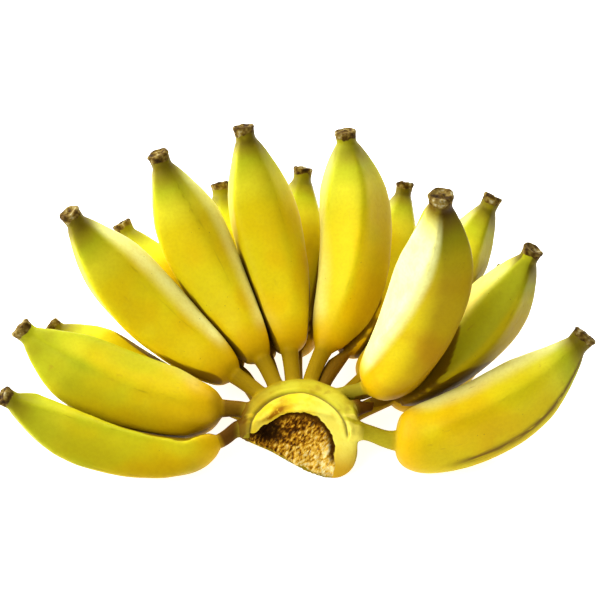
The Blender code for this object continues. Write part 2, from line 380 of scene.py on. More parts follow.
@dataclass(frozen=True)
class PeelFinish:
    """Waxy peel that ripens from green ridges to warm yellow, with a stalk and a dried flower end."""

    stalk_tone: StalkTone
    green: float             # share of the peel that is still greenish
    warm: float              # share that has turned golden
    edge_wear: float         # how much the worn ridge has browned
    seed: float

    def _length_colours(self) -> tuple:
        """Colours from the stalk's root to the flower end, along a scale from 0 to 1."""
        stalk = self.stalk_tone.value
        neck = tuple(0.55 * a + 0.45 * b for a, b in zip(stalk, GOLD))
        reads = (
            (-1.0, stalk), (-0.12, stalk), (0.000, neck), (0.035, GOLD), (0.14, WARM_YELLOW),
            (0.42, YELLOW), (0.68, YELLOW), (0.78, LEMON), (0.860, LIME), (0.905, MOSS), (0.945, BARK),
        )
        return tuple(((along + 1.0) / 2.2, colour) for along, colour in reads)

    def _peel_colour(self, net: Net, along: Value, ridge: Value) -> bpy.types.NodeSocket:
        """Colour of clean peel: length colours, green along ridges, golden clouds, painted shade on the side
        turned from the lamps, a painted highlight on the side facing them, fine mottling.
        """
        broad = net.grain(26.0, 1.0, shift=self.seed)
        clouds = net.grain(9.0, 3.0, shift=self.seed + 4.0)
        fine = net.grain(1.6, 2.0, shift=self.seed)
        wander = (broad - 0.5) * 0.10 + (clouds - 0.5) * 0.03
        colour = net.ramp((along + wander + 1.0) / 2.2, self._length_colours())
        on_body = along.between(0.02, 0.12)
        greening = broad.between(0.40, 0.66) * 0.55 + ridge * 0.35 + along.between(0.45, 1.0) * 0.45
        colour = net.blend(greening * self.green * on_body, colour, LIME)
        colour = net.blend(net.mark("stripe") * 0.75, colour, LIME)
        golden = (1.0 - broad.between(0.36, 0.58)) * (1.0 - along.between(0.35, 0.8)) * self.warm
        colour = net.blend(golden * on_body, colour, GOLD)
        colour = net.blend(clouds.between(0.52, 0.75) * 0.20 * on_body, colour, LEMON)
        # painted shade on the side turned away from the lamps
        shaded = net.mark("shaded") * (0.75 + 0.5 * clouds) * on_body
        colour = net.blend(shaded, colour, SHADE, "MULTIPLY")
        # painted highlight: faces turned towards the lamps are paled
        colour = net.blend(net.mark("painted_highlight") * (0.45 + 0.9 * clouds) * on_body, colour, PAINTED_HIGHLIGHT_COLOUR)
        return net.blend(fine.between(0.35, 0.7) * 0.14, colour, (0.62, 0.46, 0.02), "MULTIPLY")

    def _marked(self, net: Net, colour: object, along: Value, ridge: Value) -> bpy.types.NodeSocket:
        """Add browned ridge lines, pinprick freckles, rubbed scars and painted shade in the creases where
        fingers touch.
        """
        track = net.track("straight")
        streak = net.grain(1.0, 2.0, net.stretched(track, (0.05, 0.6, 0.6)), self.seed)
        body = along.between(0.04, 0.14) * (1.0 - along.between(0.93, 0.98))
        worn = net.mark("worn") * streak.between(0.28, 0.48) * along.between(0.12, 0.32)
        faint = ridge.between(0.80, 0.97) * streak.between(0.54, 0.70) * 0.25
        share = (worn * self.edge_wear).highest(faint) * body
        colour = net.blend(share, colour, (0.11, 0.045, 0.003))
        freckle = net.cells(4.4)
        sparse = net.grain(17.0, 1.0, shift=self.seed + 9.0).between(0.50, 0.66)
        dots = (1.0 - freckle.between(0.045, 0.085)) * sparse * body
        colour = net.blend(dots * 0.7, colour, (0.17, 0.075, 0.008))
        scar = net.grain(2.4, 3.0, net.stretched(track, (0.22, 1.0, 1.0)), self.seed + 2.0)
        rare = net.grain(22.0, 1.0, shift=self.seed + 6.0).between(0.58, 0.70)
        colour = net.blend(scar.between(0.60, 0.68) * rare * body * 0.40, colour, (0.38, 0.20, 0.015))
        # painted shade: dark brown in the creases where fingers touch
        contact = net.mark("contact")
        return net.blend(contact.between(0.68, 1.0) * 0.93, colour, CREASE_SHADE)

    def _dried(self, net: Net) -> bpy.types.NodeSocket:
        """Colour of the crumpled flower end: dark brown with paler grey patches."""
        patches = net.grain(3.4, 2.0, shift=self.seed + 1.0)
        fine = net.grain(0.8, 2.0, shift=self.seed + 5.0)
        stops = (
            (0.34, (0.024, 0.011, 0.002)), (0.47, (0.085, 0.045, 0.004)),
            (0.60, (0.220, 0.150, 0.030)), (0.74, (0.420, 0.380, 0.220)),
        )
        return net.ramp(patches + (fine - 0.5) * 0.16, stops)

    def make(self, name: str) -> bpy.types.Material:
        """Build the peel's material."""
        net = Net(name)
        along = net.mark("along")
        ridge = net.mark("ridge")
        dry = net.mark("dry")
        colour = self._marked(net, self._peel_colour(net, along, ridge), along, ridge)
        near_crown = net.mark("near_crown")
        colour = net.blend(near_crown * 0.5, colour, CUSHION)
        colour = net.blend(dry.between(0.35, 0.65), colour, self._dried(net))
        on_stalk = 1.0 - along.between(-0.2, 0.03)
        roughness = 0.38 + net.grain(3.0, 3.0) * 0.14 + dry * 0.3 + on_stalk * 0.25
        pores = net.relief(net.grain(0.55, 2.0), 0.025)
        swells = net.relief(net.grain(5.0, 2.0, shift=self.seed), 0.22, pores)
        fibres = net.grain(0.9, 2.0, net.stretched(net.track("straight"), (0.10, 1.0, 1.0)), self.seed)
        lined = net.relief(fibres * on_stalk, 0.30, swells)
        crumpled = net.relief(net.grain(1.1, 3.0) * dry, 0.6, lined)
        return net.finish(colour, roughness, crumpled, 0.06)


@dataclass(frozen=True)
class CrownFinish:
    """Cut crown: green cushion, yellow rind, bruised edge and a torn fibrous middle."""

    rind: Colour = (0.78, 0.56, 0.020)
    # paler rind: paler clouds at random, and painted light on the band's right side
    rind_pale_and_lit: Colour = (0.86, 0.76, 0.110)
    # painted shade: ochre towards the band's lower right end
    shade_ochre: Colour = (0.52, 0.27, 0.004)
    bruise: Colour = (0.24, 0.095, 0.000)
    fold: Colour = (0.17, 0.13, 0.030)
    rim: Colour = (0.085, 0.030, 0.001)
    # painted shade: near black in the sunken hollow of the torn middle
    hollow: Colour = (0.022, 0.008, 0.001)
    back: Colour = (0.36, 0.25, 0.008)
    lime: Colour = (0.56, 0.53, 0.030)
    umber: Colour = (0.30, 0.19, 0.006)

    def _outside(self, net: Net) -> bpy.types.NodeSocket:
        """Colour of the cushion, the wall, the fold line and the yellow band, with painted light on the
        band's right side and painted shade towards its lower right end.
        """
        clouds = net.grain(7.0, 3.0)
        broad = net.grain(13.0, 1.0, shift=3.0)
        fine = net.grain(1.1, 3.0)
        colour = net.blend(broad.between(0.45, 0.65) * 0.7, CUSHION, self.lime)
        colour = net.blend((1.0 - clouds.between(0.32, 0.52)) * 0.65, colour, self.umber)
        colour = net.blend(net.mark("brown_side") * 0.7, colour, self.umber)
        colour = net.blend(net.mark("wall") * 0.8, colour, self.back)
        # painted light on the band's right side, plus paler clouds at random
        pale = net.mark("painted_light_side") * 0.7 + clouds.between(0.40, 0.66) * 0.4
        rind = net.blend(pale, self.rind, self.rind_pale_and_lit)
        # painted shade: ochre towards the band's lower right end
        rind = net.blend(net.mark("low_end_shade") * 0.9, rind, self.shade_ochre)
        rind = net.blend(net.mark("bruise") * fine.between(0.22, 0.44) * 1.3, rind, self.bruise)
        colour = net.blend(net.mark("band"), colour, rind)
        colour = net.blend(net.mark("fold") * 0.85, colour, self.fold)
        colour = net.blend(net.mark("left_end") * 0.9, colour, StalkTone.BROWN.value)
        colour = net.blend(net.mark("outer"), colour, net.track("stalk_tone"))
        return net.blend(fine.between(0.5, 0.75) * 0.12, colour, (0.6, 0.42, 0.05), "MULTIPLY")

    def _pith(self, net: Net) -> bpy.types.NodeSocket:
        """Colour of the torn middle: brown crumbs and cream flakes, darker at the rim, with painted shade in
        the hollow.
        """
        lean = net.stretched(net.track("fibre"), (0.50, 1.0, 1.0))
        crumbs = net.grain(1.25, 3.0, lean)
        flakes = net.grain(1.10, 2.0, lean, 3.0)
        patches = net.grain(6.0, 1.0, shift=2.0)
        stops = (
            (0.32, (0.060, 0.018, 0.001)), (0.42, (0.300, 0.115, 0.004)), (0.50, (0.640, 0.320, 0.015)),
            (0.59, (0.880, 0.560, 0.070)), (0.72, (0.980, 0.850, 0.380)),
        )
        light = net.mark("light")
        colour = net.ramp(crumbs + (patches - 0.5) * 0.20 + (light - 0.5) * 0.26, stops)
        bright = flakes.between(0.56, 0.66) * (light * 1.1)
        colour = net.blend(bright, colour, (0.93, 0.70, 0.24))
        dark = net.mark("rim") * (0.60 + 0.6 * flakes)
        colour = net.blend(dark.between(0.12, 0.68), colour, self.rim)
        # painted shade in the sunken hollow
        return net.blend(net.mark("hollow") * (1.2 - 0.5 * flakes), colour, self.hollow)

    def make(self, name: str) -> bpy.types.Material:
        """Build the crown's material."""
        net = Net(name)
        pith = net.mark("pith")
        colour = net.blend(pith, self._outside(net), self._pith(net))
        roughness = 0.42 + net.grain(2.5, 3.0) * 0.12 + pith * 0.4
        pores = net.relief(net.grain(0.6, 2.0), 0.04)
        swells = net.relief(net.grain(4.5, 2.0), 0.30, pores)
        lean = net.stretched(net.track("fibre"), (0.50, 1.0, 1.0))
        torn = net.relief(net.grain(1.0, 3.0, lean) * pith, 1.3, swells)
        return net.finish(colour, roughness, torn, 0.03)


@dataclass(frozen=True)
class TableFinish:
    """White table top, faintly lit from below like a picture table."""

    colour: Colour = (0.85, 0.85, 0.85)
    glow: float = 0.84

    def make(self, name: str) -> bpy.types.Material:
        """Build the table's material."""
        net = Net(name)
        net.feed(net.surface.inputs["Emission Color"], WHITE)
        net.feed(net.surface.inputs["Emission Strength"], self.glow)
        return net.finish(self.colour, 0.85, net.relief(net.grain(2.0, 2.0), 0.01), 0.1)


# --- meshes -------------------------------------------------------------------------------------------
def mesh_of_rings(name: str, rings: np.ndarray) -> bpy.types.Mesh:
    """Closed skin through rings with equal point counts.

    Args:
        name: the mesh's name.
        rings: array of ring, point round the ring, coordinate, in metres.

    Returns:
        The mesh, its points in the order of the rings, shaded smooth.
    """
    shape = bmesh.new()
    loops = [[shape.verts.new(tuple(point)) for point in ring] for ring in rings]
    count = len(loops[0])
    for lower, upper in zip(loops, loops[1:]):
        for index in range(count):
            after = (index + 1) % count
            shape.faces.new((lower[index], lower[after], upper[after], upper[index]))
    shape.faces.new(loops[0][::-1])
    shape.faces.new(loops[-1])
    bmesh.ops.recalc_face_normals(shape, faces=shape.faces)
    mesh = bpy.data.meshes.new(name)
    shape.to_mesh(mesh)
    shape.free()
    mesh.shade_smooth()
    return mesh


def store(mesh: bpy.types.Mesh, name: str, values: np.ndarray) -> None:
    """Keep a number or a vector with each point of a mesh, for its finish."""
    if values.ndim == 2:
        mesh.attributes.new(name, "FLOAT_VECTOR", "POINT").data.foreach_set("vector", values.ravel())
    else:
        mesh.attributes.new(name, "FLOAT", "POINT").data.foreach_set("value", values.ravel())


def place_piece(name: str, mesh: bpy.types.Mesh, material: bpy.types.Material) -> bpy.types.Object:
    """Put a finished mesh in the scene for a part of the hand.

    Args:
        name: the CAD node that it stands for.
        mesh: its shape, in the frame.
        material: its finish.

    Returns:
        The piece, riding with the hand.
    """
    mesh.materials.append(material)
    piece = bpy.data.objects.new(name + "_skin", mesh)
    bpy.context.scene.collection.objects.link(piece)
    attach(piece, "root")
    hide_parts(name)
    LOG.info("%s: %d faces", piece.name, len(mesh.polygons))
    return piece


# --- fingers ------------------------------------------------------------------------------------------
@dataclass
class Spine:
    """Middle line of a finger with its frame and its plain radius, in millimetres from the stem's axis."""

    place: np.ndarray
    centre: np.ndarray
    ahead: np.ndarray
    side: np.ndarray
    up: np.ndarray
    radius: np.ndarray
    body: np.ndarray
    firm: np.ndarray         # radius that neighbours feel

    def skin_distance(self, points: np.ndarray) -> np.ndarray:
        """Distance from points to the plain round skin."""
        start = self.centre[:-1]
        run = self.centre[1:] - start
        offset = points[..., None, :] - start
        share = np.clip((offset * run).sum(-1) / (run * run).sum(1), 0.0, 1.0)
        distance = np.linalg.norm(offset - share[..., None] * run, axis=-1)
        radius = self.firm[:-1] + share * (self.firm[1:] - self.firm[:-1])
        return (distance - radius).min(-1)


@dataclass(frozen=True)
class FingerPlan:
    """Shape of one banana: angles in degrees, lengths in millimetres."""

    number: int
    root: float              # where round the crown the stalk leaves
    aim: float               # heading of the stalk, seen from above
    face: float              # heading of the body at its start
    swing: float             # how far the heading turns towards the tip
    leave: float             # upward slope of the stalk
    rise: float              # upward slope of the body at its start
    bend: float              # further upward bend towards the tip
    length: float
    belly: float             # belly radius
    stalk: float             # stalk length
    sag: float = 12.0        # droop of the shoulder
    height: float = 22.5     # height where the stalk leaves the crown
    early: float = 0.0       # moves the fattest part towards the stalk
    roll: float = 0.0        # turns the five faces about the axis
    push: float = 0.0        # presses neighbours back this much beyond an even share
    painted_highlight: float = 0.55      # how pale the painted highlight on the side facing the lamps is
    highlight_side: tuple = (-0.70, 0.64, 0.32)    # the way that the side with the painted highlight faces
    highlight_turn: float | None = None    # middle of one face with the painted highlight round the axis, in place of that side
    shade: float = 0.8       # how deep the painted shade on the side turned from the lamps is
    tone: StalkTone = StalkTone.OLIVE
    green: float = 0.35      # share of the peel that is still greenish
    warm: float = 0.5        # share that has turned golden
    wear: float = 0.0        # browning of the worn ridge
    worn_turn: float = 0.0   # where the worn ridge runs, round the axis
    stripe_turn: float = 0.0    # middle of a face that has stayed green, round the axis
    stripe: float = 0.0      # how green that face is
    edge: float = 9.0        # how sharply the faces meet

    STALK_RADIUS = 4.2
    ROOT_FLARE = 0.25
    PUSH_EASE = 0.15
    BODY_SHAPE = (
        (0.00, 0.26), (0.03, 0.50), (0.075, 0.70), (0.15, 0.86), (0.26, 0.95), (0.42, 1.00), (0.58, 0.985),
        (0.70, 0.90), (0.79, 0.74), (0.87, 0.54), (0.93, 0.38), (0.965, 0.285), (1.00, 0.300),
    )

    def spine(self, place: np.ndarray) -> Spine:
        """Middle line sampled at distances from the crown's wall; a place may lie a little inside it."""
        body = np.clip((place - self.stalk) / (self.length - self.stalk), 0.0, 1.0)
        ease = 0.6 * body + 0.4 * smooth(body)
        turn = smooth((place - 0.35 * self.stalk) / (1.1 * self.stalk))
        droop = self.sag * np.exp(-(((body - 0.08) / 0.09) ** 2)) * turn
        slope = np.radians(self.leave + (self.rise - self.leave) * turn + self.bend * ease - droop)
        off_crown = smooth((place + 0.15 * self.stalk) / (0.8 * self.stalk))
        course = self.root + (self.aim - self.root) * off_crown
        course = np.radians(course + (self.face - self.aim) * turn + self.swing * ease)
        flat = np.cos(slope)
        ahead = np.stack([flat * np.cos(course), flat * np.sin(course), np.sin(slope)], axis=1)
        moves = 0.5 * (ahead[1:] + ahead[:-1]) * np.diff(place)[:, None]
        centre = np.vstack([np.zeros(3), np.cumsum(moves, axis=0)])
        at_wall = np.array([np.interp(0.0, place, centre[:, axis]) for axis in range(3)])
        root = math.radians(self.root)
        wall = np.array([WALL_RADIUS * math.cos(root), WALL_RADIUS * math.sin(root), self.height])
        centre = centre + wall - at_wall
        side = np.stack([np.sin(course), -np.cos(course), np.zeros(len(place))], axis=1)
        shape = through(self.BODY_SHAPE, body ** (1.0 - self.early)) * self.belly
        along = np.clip(place / self.stalk, 0.0, 1.0)
        flare = 1.0 + self.ROOT_FLARE * np.clip(1.0 - along / 0.35, 0.0, 1.0) ** 2
        widening = self.BODY_SHAPE[0][1] * self.belly - self.STALK_RADIUS
        neck = self.STALK_RADIUS * flare + widening * along**4
        radius = np.where(place < self.stalk, neck, shape)
        on_body = smooth(body / self.PUSH_EASE) * smooth((1.0 - body) / self.PUSH_EASE)
        firm = radius + self.push * on_body
        return Spine(place, centre, ahead, side, np.cross(side, ahead), radius, body, firm)


@dataclass
class Finger:
    """One banana: a five-sided skin pressed by its neighbours, a stalk and a dried flower end."""

    plan: FingerPlan
    stem: np.ndarray                    # foot of the stem's axis in the frame, in metres
    sides: int = 48                     # steps round a ring before doubling
    body_rings: int = 112
    stalk_rings: int = 26
    tuck: float = 4.0                   # how far the stalk reaches into the crown
    skin_gap: float = 0.6
    neighbour_reach: float = 8.0        # fingers further apart than this do not press each other
    slimming: float = 0.026             # share of the radius that the free skin stays inside the CAD's
    face_turns: tuple = (0.0, 9.0, -7.0, 6.0, -8.0)
    face_reach: tuple = (0.97, 1.00, 0.95, 1.02, 0.98)
    press_rounding: float = 12.0
    # the dried end: distance past the body, share of the end's radius, share of the crumpling
    cap_steps: tuple = (
        (0.3, 1.02, 0.2), (0.7, 1.06, 0.5), (1.3, 1.06, 1.0), (1.9, 0.99, 1.0), (2.2, 0.88, 1.0),
        (2.2, 0.76, 0.9), (1.9, 0.64, 0.8), (1.6, 0.52, 0.7), (1.5, 0.40, 0.6), (1.7, 0.28, 0.5),
        (2.0, 0.16, 0.3), (2.2, 0.07, 0.1),
    )

    def _angles(self, count: int) -> np.ndarray:
        """Even directions round a ring."""
        return np.linspace(0.0, 2.0 * math.pi, count, endpoint=False)

    def _facing(self, angle: np.ndarray) -> np.ndarray:
        """How squarely each direction meets each of the five faces."""
        count = len(self.face_turns)
        normals = np.radians(self.plan.roll + np.arange(count) * 360.0 / count + np.array(self.face_turns))
        return np.maximum(0.0, np.cos(angle[:, None] - normals)) / np.array(self.face_reach)

    def _faceted(self, spine: Spine) -> np.ndarray:
        """How much of the five-sided form each ring has."""
        return smooth((spine.body - 0.02) / 0.25) * smooth((1.0 - spine.body) / 0.12)

    def _pressed(self, spine: Spine, outward: np.ndarray, free: np.ndarray, other: Spine) -> np.ndarray:
        """How far the skin can swell before it meets a neighbour half way."""
        near = np.zeros(free.shape)
        far = free * 1.4

        def excess(reach: np.ndarray) -> np.ndarray:
            """How far a reach passes the half-way surface."""
            points = spine.centre[:, None, :] + reach[..., None] * outward
            return (reach - spine.firm[:, None]) - (other.skin_distance(points) - self.skin_gap)

        near_excess = excess(near)
        far_excess = excess(far)
        touched = far_excess > 0.0
        for _ in range(6):
            middle = 0.5 * (near + far)
            past = excess(middle)
            over = past > 0.0
            far = np.where(over, middle, far)
            far_excess = np.where(over, past, far_excess)
            near = np.where(over, near, middle)
            near_excess = np.where(over, near_excess, past)
        share = np.clip(near_excess / np.minimum(near_excess - far_excess, -1e-9), 0.0, 1.0)
        return np.where(touched, near + (far - near) * share, CLEAR)

    def _reach(self, spine: Spine, others: list[Spine]) -> tuple[np.ndarray, np.ndarray]:
        """Distance from the spine to the skin, and how closely a neighbour lies against it."""
        angle = self._angles(self.sides)
        prism = (self._facing(angle) ** self.plan.edge).sum(1) ** (-1.0 / self.plan.edge)
        prism = prism / prism.mean()
        free = (1.0 + (prism - 1.0) * self._faceted(spine)[:, None]) * spine.radius[:, None]
        outward = self._outward(spine, angle)
        inverse = free**-self.press_rounding
        nearest = np.full(free.shape, CLEAR)
        for other in others:
            limit = self._pressed(spine, outward, free, other)
            inverse = inverse + limit**-self.press_rounding
            nearest = np.minimum(nearest, limit)
        reach = inverse ** (-1.0 / self.press_rounding)
        contact = 1.0 - smooth((nearest - reach - 0.2) / 1.0)
        return doubled(reach), doubled(contact, soft=False)

    @staticmethod
    def _outward(spine: Spine, angle: np.ndarray) -> np.ndarray:
        """Unit vectors from the spine to the skin."""
        across = np.cos(angle)[None, :, None] * spine.side[:, None, :]
        return across + np.sin(angle)[None, :, None] * spine.up[:, None, :]

    def _ridges(self, spine: Spine, angle: np.ndarray) -> np.ndarray:
        """1 on the lines where two faces meet, falling to 0 on the faces."""
        ranked = np.sort(self._facing(angle), axis=1)
        return bell(ranked[:, -1] - ranked[:, -2], 0.20)[None, :] * self._faceted(spine)[:, None]

    def _cap(self, spine: Spine, end: np.ndarray, angle: np.ndarray) -> tuple[list, list]:
        """Rings of the crumpled flower end, and their distance past the body."""
        seed = float(self.plan.number)
        middle = spine.centre[-1]
        circle = np.stack([np.cos(angle), np.sin(angle), np.full(len(angle), seed)], axis=1)
        drift = ripple(circle, 0.9, seed, 1)
        lobes = 0.5 * np.cos(5.0 * angle + 2.4 * seed + 1.5 * drift)
        lobes = lobes + 0.5 * ripple(circle, 0.45, seed + 9.0, 2)
        point = bell(np.sin(0.5 * (angle - 1.9 * seed)), 0.22)
        lean = np.cos(angle - 1.1 * seed)
        rings = []
        for distance, share, crumple in self.cap_steps:
            rise = distance * (1.0 + 0.18 * lean) + crumple * (0.25 * lobes + 0.5 * point)
            wide = share * (1.0 + crumple * (0.055 * lobes - 0.035 * point))
            rings.append(middle + (end - middle) * wide[:, None] + spine.ahead[-1] * rise[:, None])
        return rings, [step[0] for step in self.cap_steps]

    @staticmethod
    def _beside(angle: np.ndarray, turn: float) -> np.ndarray:
        """Distance round the ring from a direction, in degrees."""
        return np.abs((np.degrees(angle) - turn + 180.0) % 360.0 - 180.0)

    def build(self, spines: dict[int, Spine]) -> bpy.types.Mesh:
        """Make the banana's mesh with the numbers that its finish reads.

        Args:
            spines: the middle lines of all fingers of the hand, by number.

        Returns:
            The mesh, in the frame.
        """
        plan = self.plan
        stalk = np.linspace(-self.tuck, plan.stalk, self.stalk_rings, endpoint=False)
        spread = np.linspace(0.0, 1.0, self.body_rings)
        spread = spread - 0.10 * np.sin(2.0 * math.pi * spread) / (2.0 * math.pi) * 2.0
        place = np.concatenate([stalk, plan.stalk + (plan.length - plan.stalk) * spread])
        spine = plan.spine(place)
        others = []
        for number, other in spines.items():
            gap = (other.skin_distance(spine.centre) - spine.radius).min()
            if number != plan.number and gap < self.neighbour_reach:
                others.append(other)
        reach, contact = self._reach(spine, others)
        angle = self._angles(2 * self.sides)
        ridge = self._ridges(spine, angle)
        outward = self._outward(spine, angle)
        points = spine.centre[:, None, :] + reach[..., None] * outward
        seed = float(plan.number)
        girth = spine.radius[:, None]
        lumps = 0.018 * girth * ripple(points, 24.0, seed) + 0.05 * ripple(points, 5.0, seed)
        reach = reach * (1.0 + 0.010 * ridge**3) + (lumps - self.slimming * girth) * (1.0 - contact)
        points = spine.centre[:, None, :] + reach[..., None] * outward
        points[..., 2] = np.maximum(points[..., 2], 0.0)

        cap_rings, past = self._cap(spine, points[-1], angle)
        rings = np.concatenate([points, np.array(cap_rings)])
        mesh = mesh_of_rings(f"banana_{plan.number:02d}", rings * MM + self.stem)
        self._store_form(mesh, spine, rings, past, {"reach": reach, "ridge": ridge, "contact": contact})
        self._store_ripeness(mesh, spine, outward, len(past))
        return mesh

    def _store_form(
        self, mesh: bpy.types.Mesh, spine: Spine, rings: np.ndarray, past: list, skin: dict
    ) -> None:
        """Keep where each point lies: along the finger, on a ridge, against a neighbour, on the dried end.

        Args:
            mesh: the banana's mesh.
            spine: its middle line.
            rings: its points by ring, in millimetres from the stem's axis.
            past: distance past the body of each ring of the dried end.
            skin: "reach" from the spine, "ridge" and "contact", by ring of the body and stalk.
        """
        plan = self.plan
        place = spine.place
        angle = self._angles(2 * self.sides)
        extra = np.zeros((len(past), len(angle)))
        along = np.where(place < plan.stalk, np.minimum(place, plan.stalk) / plan.stalk - 1.0, spine.body)
        along = np.concatenate([along, 1.0 + 0.05 * np.array(past)])
        store(mesh, "along", np.repeat(along, len(angle)))
        store(mesh, "ridge", np.concatenate([skin["ridge"], extra]).ravel())
        contact = skin["contact"] * (place > 0.6 * plan.stalk)[:, None]
        store(mesh, "contact", np.concatenate([contact, extra]).ravel())
        uneven = 0.008 * ripple(rings[:len(place)], 2.6, plan.number + 3.0)
        edge = (spine.body[:, None] - 0.985 - uneven) / 0.016
        store(mesh, "dry", np.concatenate([np.clip(0.5 + edge, 0.0, 1.0), extra + 1.0]).ravel())
        out = np.hypot(rings[..., 0], rings[..., 1]) - WALL_RADIUS
        store(mesh, "near_crown", (1.0 - smooth((out + 1.0) / 6.0)).ravel())
        reach = skin["reach"]
        straight = np.concatenate([np.broadcast_to(place[:, None], reach.shape), extra + place[-1]])
        shown = np.concatenate([reach, np.broadcast_to(reach[-1], extra.shape)])
        lines = np.stack([straight, shown * np.cos(angle), shown * np.sin(angle)], axis=-1)
        store(mesh, "straight", lines.reshape(-1, 3) * MM)

    def _store_ripeness(
        self, mesh: bpy.types.Mesh, spine: Spine, outward: np.ndarray, cap_count: int
    ) -> None:
        """Keep where the peel is worn and green, and where its painted highlight and painted shade lie.

        Args:
            mesh: the banana's mesh.
            spine: its middle line.
            outward: unit vectors from the spine to the skin.
            cap_count: number of rings of the dried end, which has none of these marks.
        """
        plan = self.plan
        angle = self._angles(2 * self.sides)
        extra = np.zeros((cap_count, len(angle)))
        body = spine.body[:, None]
        worn = bell(self._beside(angle, plan.worn_turn), 6.0)[None, :] * self._faceted(spine)[:, None]
        stripe = plan.stripe * (1.0 - smooth((self._beside(angle, plan.stripe_turn) - 27.0) / 9.0))
        stripe = stripe * smooth((body - 0.12) / 0.2)
        # painted highlight on the faces turned towards the lamps
        painted_highlight = plan.painted_highlight * smooth((outward @ np.array(plan.highlight_side) - 0.28) / 0.55)
        if plan.highlight_turn is not None:
            beyond = self._beside(angle, plan.highlight_turn) - 44.0
            painted_highlight = plan.painted_highlight * (1.0 - smooth(beyond / 14.0))[None, :]
        painted_highlight = painted_highlight * smooth((body - 0.03) / 0.15) * smooth((0.96 - body) / 0.12)
        # painted shade on the faces turned away from the lamps
        shaded = plan.shade * smooth((outward @ SHADE_SIDE - 0.10) / 0.80)
        for name, mark in {"worn": worn, "stripe": stripe, "painted_highlight": painted_highlight, "shaded": shaded}.items():
            store(mesh, name, np.concatenate([mark, extra]).ravel())

    def dress(self) -> bpy.types.Material:
        """Finish for this banana's ripeness."""
        plan = self.plan
        finish = PeelFinish(plan.tone, plan.green, plan.warm, plan.wear, 1.7 * plan.number)
        return finish.make(f"banana_{plan.number:02d}_peel")


